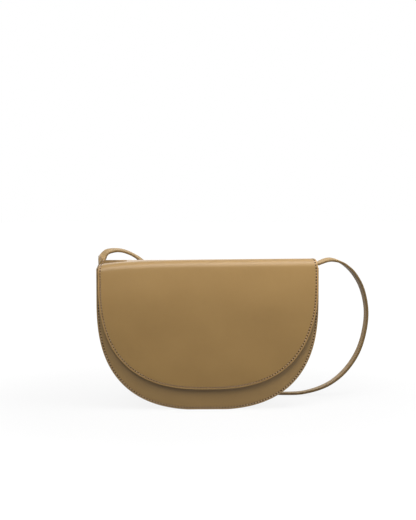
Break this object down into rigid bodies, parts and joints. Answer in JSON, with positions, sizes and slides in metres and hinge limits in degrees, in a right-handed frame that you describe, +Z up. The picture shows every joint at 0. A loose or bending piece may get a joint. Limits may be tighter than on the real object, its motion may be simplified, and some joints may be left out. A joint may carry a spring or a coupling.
{
  "type": "half moon bag",
  "caption": "Half moon shoulder bag in tan leather with a fold-over flap on a magnetic snap and a long flat strap.",
  "frame": {"origin": "under the middle of the bag, on the surface that it stands on", "axes": "+X to the bag's right as seen from the front, +Y from the flap's face to the back, +Z up"},
  "size_m": [0.3043, 0.1913, 0.1709],
  "materials": {
    "tan_leather": "smooth semi-gloss tan leather",
    "strap_leather": "smooth tan leather with painted edges",
    "suede_lining": "sand split suede",
    "leather_board": "plain bonded leather board",
    "gold_metal": "light gold plating, satin",
    "steel": "plain"
  },
  "bodies": {
    "bag": {"front_panel": "tan_leather", "back_panel": "tan_leather", "gusset": "tan_leather", "front_stiffener": "leather_board", "back_stiffener": "leather_board", "base_board": "leather_board", "lining_front": "suede_lining", "lining_back": "suede_lining", "lining_gusset": "suede_lining", "front_facing": "tan_leather", "back_facing": "tan_leather", "slip_pocket": "tan_leather", "flap_rear_strip": "tan_leather", "snap_socket": "gold_metal", "snap_socket_washer": "steel", "strap": "strap_leather", "strap_end_left": "strap_leather", "strap_end_right": "strap_leather"},
    "flap_top_body": {"flap_top": "tan_leather", "flap_top_lining": "suede_lining"},
    "flap_front_body": {"flap_front": "tan_leather", "flap_front_lining": "suede_lining", "flap_stiffener": "leather_board", "snap_stud": "gold_metal", "snap_stud_washer": "steel"}
  },
  "joints": [
    {"name": "rear_fold", "type": "hinge", "parent": "bag", "child": "flap_top_body", "pos_m": [0, 0.02749, 0.15549], "axis": [-1, 0, 0], "range_deg": [0, 100]},
    {"name": "front_fold", "type": "hinge", "parent": "flap_top_body", "child": "flap_front_body", "pos_m": [0, -0.0269, 0.1599], "axis": [-1, 0, 0], "range_deg": [0, 90]}
  ]
}
